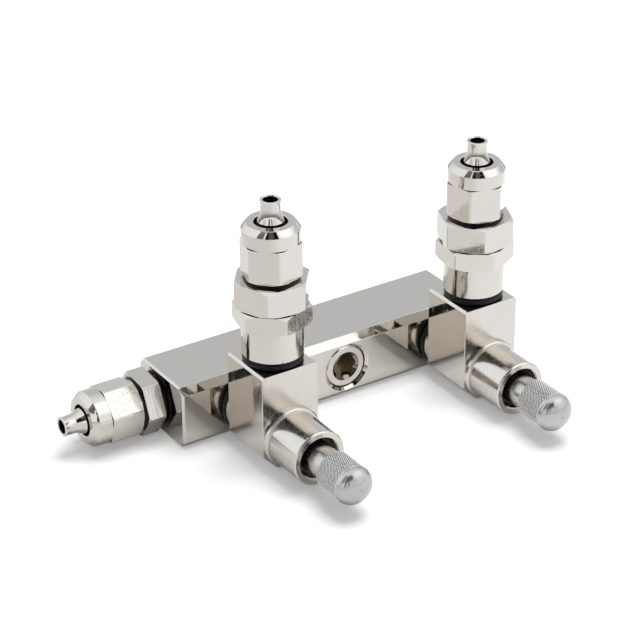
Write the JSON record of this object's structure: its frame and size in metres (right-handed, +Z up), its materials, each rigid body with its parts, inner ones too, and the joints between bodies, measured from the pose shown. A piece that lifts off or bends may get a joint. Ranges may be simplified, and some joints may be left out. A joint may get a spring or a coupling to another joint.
{
  "type": "carbon dioxide manifold",
  "caption": "Gas manifold: square block with side inlet, plugged spare port, and needle valves that each carry an upright check valve and hose nut.",
  "frame": {"origin": "centre of the block's flat bottom face", "axes": "+X along the block away from the inlet, +Y from the valves to the block's back, +Z up along the outlets"},
  "size_m": [0.0936, 0.0601, 0.0565],
  "materials": {
    "polished_nickel_block": "nickel plated, polished",
    "bright_nickel": "nickel plated, bright turned",
    "satin_aluminium": "turned and knurled, satin anodised",
    "black_rubber": "smooth moulded",
    "bare_brass": "turned",
    "spring_steel": "drawn"
  },
  "bodies": {
    "manifold": {"manifold_block": "polished_nickel_block", "port_plug": "bright_nickel", "inlet_seal": "black_rubber", "inlet_connector": "bright_nickel", "left_valve_nipple": "bright_nickel", "left_nipple_seal": "black_rubber", "left_valve_body": "bright_nickel", "left_stem_seal": "black_rubber", "left_stem_bush": "bare_brass", "left_check_seal": "black_rubber", "left_check_body": "bright_nickel", "left_check_cap": "bright_nickel", "left_cap_seal": "black_rubber", "left_check_spring": "spring_steel", "right_valve_nipple": "bright_nickel", "right_nipple_seal": "black_rubber", "right_valve_body": "bright_nickel", "right_stem_seal": "black_rubber", "right_stem_bush": "bare_brass", "right_check_seal": "black_rubber", "right_check_body": "bright_nickel", "right_check_cap": "bright_nickel", "right_cap_seal": "black_rubber", "right_check_spring": "spring_steel"},
    "left_needle": {"left_needle": "spring_steel"},
    "left_knob": {"left_knob": "satin_aluminium"},
    "left_check_poppet": {"left_check_poppet": "bare_brass", "left_poppet_seal": "black_rubber"},
    "left_nut_ring": {"left_nut_ring": "black_rubber"},
    "left_outlet_nut": {"left_outlet_nut": "bright_nickel"},
    "right_needle": {"right_needle": "spring_steel"},
    "right_knob": {"right_knob": "satin_aluminium"},
    "right_check_poppet": {"right_check_poppet": "bare_brass", "right_poppet_seal": "black_rubber"},
    "right_nut_ring": {"right_nut_ring": "black_rubber"},
    "right_outlet_nut": {"right_outlet_nut": "bright_nickel"},
    "inlet_nut_ring": {"inlet_nut_ring": "black_rubber"},
    "inlet_nut": {"inlet_nut": "bright_nickel"}
  },
  "joints": [
    {"name": "left_needle_travel", "type": "slide", "parent": "manifold", "child": "left_needle", "axis": [0, -1, 0], "range_m": [-0.001, 0.0015]},
    {"name": "left_knob_turn", "type": "hinge", "parent": "left_needle", "child": "left_knob", "pos_m": [-0.0208, -0.0088, 0.0069], "axis": [0, -1, 0], "range_deg": [-720, 1080]},
    {"name": "left_check_lift", "type": "slide", "parent": "manifold", "child": "left_check_poppet", "axis": [0, 0, 1], "range_m": [0, 0.0015], "stiffness_N_per_m": 40, "springref_m": -0.001, "deforming": ["left_check_spring"]},
    {"name": "left_outlet_nut_travel", "type": "slide", "parent": "manifold", "child": "left_nut_ring", "axis": [0, 0, 1], "range_m": [0, 0.006]},
    {"name": "left_outlet_nut_turn", "type": "hinge", "parent": "left_nut_ring", "child": "left_outlet_nut", "pos_m": [-0.0208, -0.01917, 0.04], "axis": [0, 0, 1], "range_deg": [0, 2160]},
    {"name": "right_needle_travel", "type": "slide", "parent": "manifold", "child": "right_needle", "axis": [0, -1, 0], "range_m": [-0.0005, 0.002]},
    {"name": "right_knob_turn", "type": "hinge", "parent": "right_needle", "child": "right_knob", "pos_m": [0.0283, -0.0088, 0.0069], "axis": [0, -1, 0], "range_deg": [-360, 1440]},
    {"name": "right_check_lift", "type": "slide", "parent": "manifold", "child": "right_check_poppet", "axis": [0, 0, 1], "range_m": [0, 0.0015], "stiffness_N_per_m": 40, "springref_m": -0.001, "deforming": ["right_check_spring"]},
    {"name": "right_outlet_nut_travel", "type": "slide", "parent": "manifold", "child": "right_nut_ring", "axis": [0, 0, 1], "range_m": [0, 0.006]},
    {"name": "right_outlet_nut_turn", "type": "hinge", "parent": "right_nut_ring", "child": "right_outlet_nut", "pos_m": [0.0283, -0.01917, 0.04], "axis": [0, 0, 1], "range_deg": [0, 2160]},
    {"name": "inlet_nut_travel", "type": "slide", "parent": "manifold", "child": "inlet_nut_ring", "axis": [-1, 0, 0], "range_m": [0, 0.006]},
    {"name": "inlet_nut_turn", "type": "hinge", "parent": "inlet_nut_ring", "child": "inlet_nut", "pos_m": [-0.04082, 0.0027, 0.0069], "axis": [-1, 0, 0], "range_deg": [0, 2160]}
  ],
  "couplings": [
    {"joint": "left_needle_travel", "follows": "left_knob_turn", "m_per_rad": 0.000079577},
    {"joint": "left_outlet_nut_travel", "follows": "left_outlet_nut_turn", "m_per_rad": 0.00015915},
    {"joint": "right_needle_travel", "follows": "right_knob_turn", "m_per_rad": 0.000079577},
    {"joint": "right_outlet_nut_travel", "follows": "right_outlet_nut_turn", "m_per_rad": 0.00015915},
    {"joint": "inlet_nut_travel", "follows": "inlet_nut_turn", "m_per_rad": 0.00015915}
  ]
}
